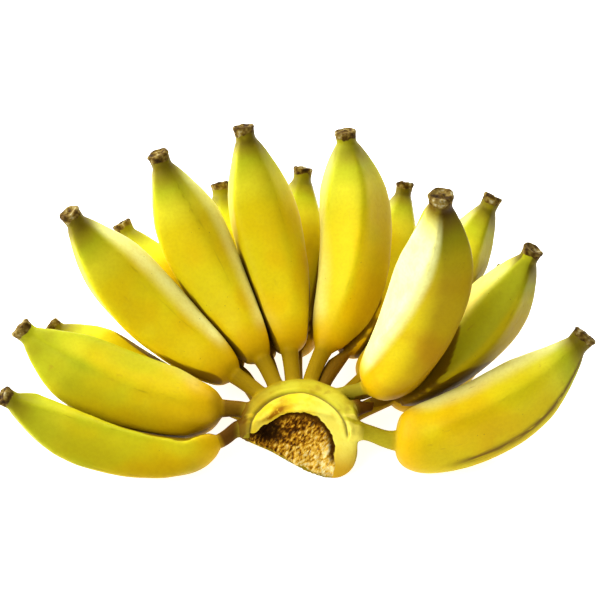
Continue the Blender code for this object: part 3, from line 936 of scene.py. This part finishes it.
# --- crown --------------------------------------------------------------------------------------------
@dataclass
class Crown:
    """The D-shaped piece of fruit stalk, with stubs that flow into the stalks and a torn cut face."""

    stem: np.ndarray
    centre_y: float = 8.0               # middle of the D, behind the stem's axis
    foot_y: float = -12.0               # where the cut face meets the table
    slope: float = 0.58                 # how far the cut face leans back for each unit of height
    bulge_right: float = 5.0
    bulge_left: float = 2.0
    bulge_start: float = 12.0
    bulge_run: float = 14.0
    chip_height: float = 15.0
    chip_start: float = 16.0
    chip_run: float = 42.0
    shoulder: float = 26.0
    rounding: float = 9.0
    ring_steps: int = 200
    level_steps: int = 60
    grid: float = 0.42                  # size of the skin's finest squares
    # height, radius of the round back, height used along the cut face
    levels: tuple = (
        (0.0, 21.0, 0.0), (1.4, 24.6, 1.4), (4.2, 27.6, 4.2), (8.5, 29.0, 8.5), (14.5, 29.0, 14.5),
        (20.5, 29.0, 20.5), (24.4, 28.9, 24.4), (26.3, 28.0, 26.2), (27.1, 26.6, 26.9), (27.4, 25.0, 27.4),
        (27.9, 23.4, 27.9), (29.0, 20.6, 29.0), (30.8, 16.8, 30.8), (32.0, 12.0, 32.0),
    )
    crest_drop: float = 1.4             # the arched top edge of the cut face is this much lower at its ends
    crest_half_width: float = 13.0
    web_height: float = 23.4            # the flesh between the stalks is thickest here
    web_depth: float = 5.0
    web_half_height: float = 5.4
    stub_reach: float = 7.0             # how far the crown's flesh follows an upper stalk
    low_stub_reach: float = 5.0         # and a lower one
    # the fold line round the top: angle from the right, radius
    fold_line: tuple = (
        (-40.0, 28.0), (-18.0, 26.2), (-12.0, 24.9), (1.0, 23.3), (14.0, 22.0), (27.0, 21.3), (42.0, 20.8),
        (56.0, 20.9), (69.0, 21.1), (90.0, 21.6), (111.0, 21.9), (133.0, 22.3), (152.0, 22.9), (162.0, 23.8),
        (172.0, 24.5), (187.0, 25.6), (220.0, 26.6),
    )
    # edge of the torn middle on the cut face: angle from the right, distance from the face's middle
    torn_line: tuple = (
        (-90.0, 30.0), (-46.0, 23.2), (-36.0, 21.1), (-21.0, 18.9), (-5.0, 17.9), (13.0, 17.5),
        (32.0, 17.7), (52.0, 18.2), (66.0, 18.5), (77.0, 18.9), (90.0, 18.9), (100.0, 19.3),
        (107.0, 19.5), (117.0, 19.4), (129.0, 19.7), (137.0, 20.5), (145.0, 21.4), (154.0, 22.3),
        (160.0, 23.5), (163.0, 26.3), (172.0, 30.0), (190.0, 34.0), (270.0, 34.0),
    )
    face_middle: tuple = (0.0, -3.0, 15.0)
    face_up: tuple = (0.0, 0.5, 0.866)
    face_out: tuple = (0.0, -0.866, 0.5)

    def _reach(self, angle: np.ndarray, radius: float, face_height: float) -> np.ndarray:
        """Distance from the D's middle to its skin."""
        sine = np.sin(angle)
        along = -self.centre_y * sine
        back = along + np.sqrt(along**2 + radius**2 - self.centre_y**2)
        depth = self.centre_y - (self.foot_y + self.slope * face_height)
        across = depth * np.cos(angle) / np.maximum(0.05, -sine)
        depth = depth + self.bulge_right * smooth((across - self.bulge_start) / self.bulge_run)
        depth = depth + self.bulge_left * smooth((-across - self.bulge_start) / self.bulge_run)
        front = np.maximum(0.0, -sine) / depth
        return (back**-self.rounding + front**self.rounding) ** (-1.0 / self.rounding)

    def _block(self) -> np.ndarray:
        """Rings of the plain crown, before its details."""
        angle = np.linspace(-0.5 * math.pi, 1.5 * math.pi, self.ring_steps, endpoint=False)
        back_share = smooth((np.sin(angle) + 0.35) / 0.45)
        chip_share = 1.0 - smooth(np.sin(angle) / 0.7)
        count = len(self.levels)
        read = np.linspace(0.0, count - 1.0, self.level_steps)
        columns = np.array(self.levels).T
        heights, radii, face_heights = (
            through(tuple(zip(range(count), column)), read) for column in columns
        )
        rings = []
        for height, radius, face_height in zip(heights, radii, face_heights):
            reach = self._reach(angle, radius, face_height)
            x = reach * np.cos(angle)
            y = self.centre_y + reach * np.sin(angle)
            z = face_height + (height - face_height) * back_share
            chip = self.chip_height * smooth((self.chip_start - x) / self.chip_run) * chip_share
            crest = smooth(np.abs(x) / self.crest_half_width) * smooth((z - 27.0) / 3.0)
            lift = np.maximum(0.0, chip - chip / self.shoulder * z) - self.crest_drop * crest
            y = y + self.slope * lift * (1.0 - back_share)
            shrink = np.maximum(1.0, np.hypot(x, y) / radius)
            rings.append(np.stack([x / shrink, y / shrink, z + lift], axis=1))
        return np.array(rings)

    def _stub(self, plan: FingerPlan) -> np.ndarray:
        """Rings of a flare that carries the crown's flesh a little way up a stalk."""
        reach = self.stub_reach if plan.height > 20.0 else self.low_stub_reach
        place = np.linspace(-5.0, reach, 16)
        spine = plan.spine(place)
        share = np.clip(place / reach, 0.0, 1.0)
        radius = np.maximum(0.5, np.minimum(spine.radius, 5.2) + 0.4 * (1.0 - share) ** 2 - 0.7 * share**2)
        angle = np.linspace(0.0, 2.0 * math.pi, 24, endpoint=False)
        return spine.centre[:, None, :] + radius[:, None, None] * Finger._outward(spine, angle)

    def _web(self) -> np.ndarray:
        """Rings of the flesh that joins the stalks where they leave the crown."""
        angle = np.linspace(0.0, 2.0 * math.pi, self.ring_steps, endpoint=False)
        depth = self.web_depth * np.maximum(0.0, np.sin(angle)) ** 0.8
        rings = []
        for height in np.linspace(self.web_height - 9.0, self.web_height + 4.5, 15):
            rim = bell(np.array((height - self.web_height) / self.web_half_height), 1.0)
            radius = WALL_RADIUS - 3.0 * (np.sin(angle) < 0.0) - 1.5 + (depth + 1.5) * rim
            y = np.maximum(radius * np.sin(angle), self.foot_y + self.slope * height + 3.0)
            rings.append(np.stack([radius * np.cos(angle), y, 0.0 * angle + height], axis=1))
        return np.array(rings)

    def _merged(self, plans: tuple[FingerPlan, ...]) -> bpy.types.Mesh:
        """One skin round the block and its stubs, with soft fillets."""
        shape = bmesh.new()
        for rings in [self._block(), self._web()] + [self._stub(plan) for plan in plans]:
            part = mesh_of_rings("part", rings * MM + self.stem)
            shape.from_mesh(part)
            bpy.data.meshes.remove(part)
        joined = bpy.data.meshes.new("crown_block")
        shape.to_mesh(joined)
        shape.free()
        holder = bpy.data.objects.new("crown_block", joined)
        bpy.context.scene.collection.objects.link(holder)
        merge = holder.modifiers.new("merge", "REMESH")
        merge.mode = "VOXEL"
        merge.voxel_size = self.grid * MM
        soften = holder.modifiers.new("soften", "SMOOTH")
        soften.factor = 0.5
        soften.iterations = 22
        graph = bpy.context.evaluated_depsgraph_get()
        mesh = bpy.data.meshes.new_from_object(holder.evaluated_get(graph))
        bpy.data.objects.remove(holder)
        mesh.name = "crown"
        return mesh

    def build(self, plans: tuple[FingerPlan, ...]) -> bpy.types.Mesh:
        """Make the crown's mesh with the numbers that its finish reads.

        Args:
            plans: the fingers whose stalks leave it.

        Returns:
            The mesh, in the frame.
        """
        mesh = self._merged(plans)
        count = len(mesh.vertices)
        flat = np.zeros(count * 3, np.float32)
        mesh.vertices.foreach_get("co", flat)
        points = (flat.reshape(-1, 3).astype(float) - self.stem) / MM
        mesh.vertex_normals.foreach_get("vector", flat)
        normals = flat.reshape(-1, 3).astype(float)

        angle = np.degrees(np.arctan2(points[:, 1], points[:, 0]))
        angle = np.where(angle < -90.0, angle + 360.0, angle)
        radius = np.hypot(points[:, 0], points[:, 1])
        from_fold = radius - through(self.fold_line, angle)
        offset = points - np.array(self.face_middle)
        face_x = offset[:, 0]
        face_v = offset @ np.array(self.face_up)
        frontal = smooth((normals @ np.array(self.face_out) - 0.45) / 0.25)
        turn = np.degrees(np.arctan2(face_v, face_x))
        turn = np.where(turn < -90.0, turn + 360.0, turn)
        wobble = 0.7 * ripple(points, 3.4, 5.0)
        inside = through(self.torn_line, turn) - np.hypot(face_x, face_v) + wobble
        low = smooth((-face_v - 4.0) / 6.0)
        pith = smooth(inside / 0.7) * frontal
        top = smooth((normals[:, 2] - 0.25) / 0.3) * smooth((points[:, 2] - 20.0) / 3.0) * (1.0 - pith)

        hollow = bell(np.hypot((face_x + 16.0) / 1.25, face_v - 8.5), 5.2) * pith
        slant = math.radians(55.0)
        fibre = np.stack([
            face_x * math.cos(slant) + face_v * math.sin(slant),
            face_v * math.cos(slant) - face_x * math.sin(slant),
            offset @ np.array(self.face_out),
        ], axis=1)
        crumbs = ripple(fibre * np.array([0.55, 1.0, 1.0]), 1.5, 2.0, 3)
        tears = ripple(points, 5.5, 8.0, 2)
        sunk = pith * (0.9 + 4.5 * hollow - 0.55 * crumbs - 0.9 * tears)
        sunk = sunk + 0.9 * bell(inside - 0.9, 0.7) * frontal * (1.0 - low)
        fold = bell(from_fold, 0.55) * top
        raised = top * (0.55 * bell(from_fold - 1.9, 1.3) + 0.25 * bell(from_fold + 1.6, 1.2))
        skin = 0.18 * ripple(points, 7.0, 1.0) * (1.0 - pith)
        move = raised + skin - sunk - 0.75 * fold
        points = points + normals * move[:, None]
        points[:, 2] = np.maximum(points[:, 2], 0.0)
        mesh.vertices.foreach_set("co", (points * MM + self.stem).astype(np.float32).ravel())
        mesh.update()
        mesh.shade_smooth()

        band = smooth((0.4 - from_fold) / 0.8) * np.maximum(top, frontal)
        store(mesh, "pith", pith)
        store(mesh, "band", np.clip(band + frontal, 0.0, 1.0))
        store(mesh, "fold", fold)
        store(mesh, "rim", np.clip(1.0 - (inside - 0.2) / 5.6, 0.0, 1.0) * smooth((face_v + 12.0) / 8.0))
        # painted shade in the sunken hollow
        store(mesh, "hollow", np.clip(1.6 * hollow, 0.0, 1.0))
        store(mesh, "light", np.clip(0.42 - 0.035 * face_v + 0.022 * face_x, 0.0, 1.0))
        # painted shade: darker towards the band's lower right end
        store(mesh, "low_end_shade", smooth((5.0 - face_v) / 18.0) * smooth((face_x - 8.0) / 6.0))
        store(mesh, "wall", smooth((16.0 - points[:, 2]) / 10.0) * (1.0 - frontal))
        store(mesh, "bruise", bell(inside + 2.2, 1.5) * bell((turn - 124.0) / 20.0, 1.0))
        # painted light: the band's right side is paler
        store(mesh, "painted_light_side", smooth((points[:, 0] - 2.0) / 14.0))
        store(mesh, "brown_side", smooth((-points[:, 0] - 6.0) / 14.0))
        store(mesh, "left_end", smooth((-points[:, 0] - 23.0) / 5.0) * smooth((31.0 - points[:, 2]) / 4.0))
        store(mesh, "outer", smooth((radius - 28.0) / 5.5))
        roots = np.radians([plan.root for plan in plans])
        heights = np.array([plan.height for plan in plans])
        feet = np.stack([WALL_RADIUS * np.cos(roots), WALL_RADIUS * np.sin(roots), heights], axis=1)
        nearest = np.linalg.norm(points[:, None, :] - feet, axis=2).argmin(axis=1)
        store(mesh, "stalk_tone", np.array([plan.tone.value for plan in plans])[nearest])
        store(mesh, "fibre", fibre * MM)
        return mesh

    def dress(self) -> bpy.types.Material:
        """Finish for the crown."""
        return CrownFinish().make("crown_cut")


# --- the hand -----------------------------------------------------------------------------------------
LOW = 12.5
FINGER_PLANS = (
    FingerPlan(1, 170, 232, 183, -9, -4, -4, 46, 128, 16.6, 15, 12, 20.0, push=-5,
               tone=TONE.BROWN, green=0.9),
    FingerPlan(2, 152, 185, 175, -15, 9, 1, 40, 126, 18.7, 14, 12, roll=10, push=5,
               tone=TONE.UMBER, green=1.0),
    FingerPlan(3, 145, 159, 157, 1, 7, -3, 33, 118, 16.7, 24, 9, LOW, push=-1, green=0.4, painted_highlight=1.0),
    FingerPlan(4, 129, 141, 144, 10, 7, 12, 47, 143, 18.1, 21, 11, roll=-12, push=1, warm=0.7, green=0.25,
               painted_highlight=0.95, highlight_side=(0.45, 0.80, 0.40)),
    FingerPlan(5, 126, 118, 132, -3, 7, 0, 40, 134, 17.1, 30, 9, LOW, green=0.6),
    FingerPlan(6, 112, 113, 122, 8, 9, 16, 47, 144, 18.7, 22, 10, roll=-16, warm=0.7,
               painted_highlight=0.85, highlight_side=(0.45, 0.80, 0.40)),
    FingerPlan(7, 109, 105, 109, -8, 7, 0, 43, 136, 17.2, 31, 9, LOW),
    FingerPlan(8, 96, 95, 100, 12, 9, 17, 46, 146, 18.4, 23, 9, roll=-40, warm=0.6),
    FingerPlan(9, 94, 91, 91, -8, 7, 2, 44, 139, 17.1, 31, 9, LOW),
    FingerPlan(10, 81, 70, 65, 40, 9, 16, 44, 145, 18.9, 25, 11, early=-0.2, roll=36, push=1,
               warm=0.3, green=0.5),
    FingerPlan(11, 72, 60, 64, 14, 4, -7, 46, 142, 15.6, 33, 9, 19.5, push=-2, tone=TONE.UMBER),
    FingerPlan(12, 50, -5, 14, 74, 8, 55, 29, 138, 20.2, 17, 13, roll=48, push=4,
               tone=TONE.MOSS, warm=0.9, green=0.1, edge=12.0, shade=1.2,
               painted_highlight=1.0, highlight_turn=130),
    FingerPlan(13, 55, 45, 49, 1, 7, 6, 43, 146, 16.9, 24, 8, LOW, push=-1, warm=0.8),
    FingerPlan(14, 36, 25, 39, 15, 7, -2, 38, 122, 17.3, 26, 8, LOW),
    FingerPlan(15, 30, 8, 31, 8, 8, 14, 44, 129, 17.1, 24, 13, roll=-10, push=-1,
               tone=TONE.BROWN, green=0.3, edge=9.0, stripe_turn=71, stripe=1.0),
    FingerPlan(16, 6, -24, 12, 22, -11, 5, 30, 131, 21.0, 20, 9, 20.5, early=0.2, roll=20, push=2,
               tone=TONE.GREEN, warm=0.7, wear=0.95, worn_turn=-5, edge=4.5, painted_highlight=0.8, shade=0.2),
)


@dataclass
class Hand:
    """The whole hand: crown and fingers, lying on the frame's table."""

    plans: tuple[FingerPlan, ...] = FINGER_PLANS
    spine_steps: int = 61
    pieces: list[bpy.types.Object] = field(default_factory=list)

    def stem(self) -> np.ndarray:
        """Foot of the stem's axis in the frame, read from the crown's box."""
        low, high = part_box("crown")
        return np.array([0.5 * (low.x + high.x), high.y - WALL_RADIUS * MM, 0.0])

    def build(self) -> None:
        """Build and place every piece."""
        stem = self.stem()
        crown = Crown(stem)
        self.pieces.append(place_piece("crown", crown.build(self.plans), crown.dress()))
        spines = {}
        for plan in self.plans:
            spines[plan.number] = plan.spine(np.linspace(0.0, plan.length, self.spine_steps))
        for plan in self.plans:
            finger = Finger(plan, stem)
            name = f"banana_{plan.number:02d}"
            self.pieces.append(place_piece(name, finger.build(spines), finger.dress()))


# --- table, lights and camera -------------------------------------------------------------------------
@dataclass
class Studio:
    """Pale table, soft lights and the camera."""

    stem: np.ndarray
    elevation: float = 47.0             # degrees above the table
    distance: float = 0.95
    lens: float = 114.0
    aim_height: float = 0.025
    raise_by: float = 0.065             # the hand sits below the middle of the view
    sky: float = 0.31
    lamp_target: tuple = (0.0, 0.02, 0.05)

    def _floor(self) -> None:
        """White table top, wide enough for every view."""
        mesh = bpy.data.meshes.new("table_top")
        shape = bmesh.new()
        bmesh.ops.create_grid(shape, x_segments=1, y_segments=1, size=4.0)
        shape.to_mesh(mesh)
        shape.free()
        mesh.materials.append(TableFinish().make("table_white"))
        floor = bpy.data.objects.new("table_top", mesh)
        bpy.context.scene.collection.objects.link(floor)

    def _lamp(self, name: str, place: tuple, size: tuple, power: float, colour: Colour) -> None:
        """One soft light aimed at the hand, of a width and a height."""
        data = bpy.data.lights.new(name, "AREA")
        data.shape = "RECTANGLE"
        data.size, data.size_y = size
        data.energy = power
        data.color = colour
        lamp = bpy.data.objects.new(name, data)
        lamp.location = place
        towards = Vector(self.lamp_target) - Vector(place)
        lamp.rotation_euler = towards.to_track_quat("-Z", "Y").to_euler()
        bpy.context.scene.collection.objects.link(lamp)

    def _camera(self) -> None:
        """Camera looking down over the cut face."""
        tilt = math.radians(self.elevation)
        back = np.array([0.0, -math.cos(tilt), math.sin(tilt)])
        up = np.array([0.0, math.sin(tilt), math.cos(tilt)])
        aim = self.stem + np.array([0.0, 0.0, self.aim_height])
        data = bpy.data.cameras.new("camera")
        data.lens = self.lens
        camera = bpy.data.objects.new("camera", data)
        camera.location = aim + back * self.distance + up * self.raise_by
        camera.rotation_euler = Euler((math.radians(90.0 - self.elevation), 0.0, 0.0))
        bpy.context.scene.collection.objects.link(camera)
        bpy.context.scene.camera = camera

    def build(self) -> None:
        """Set up everything round the hand."""
        scene = bpy.context.scene
        scene.view_settings.view_transform = "Standard"
        world = bpy.data.worlds.new("soft_room")
        world.use_nodes = True
        sky = world.node_tree.nodes["Background"]
        sky.inputs["Color"].default_value = (*WHITE, 1.0)
        sky.inputs["Strength"].default_value = self.sky
        scene.world = world
        self._floor()
        self._lamp("key", (-0.60, -0.35, 0.80), (0.7, 0.7), 7.0, (1.0, 0.99, 0.97))
        self._lamp("back", (0.10, 1.00, 0.62), (1.7, 0.8), 25.0, WHITE)
        self._lamp("side", (-1.00, 0.30, 0.40), (0.9, 0.7), 18.0, WHITE)
        self._camera()


def main() -> None:
    logging.basicConfig(level=logging.INFO)
    hand = Hand()
    Studio(hand.stem()).build()
    hand.build()


if __name__ == "__main__":
    main()
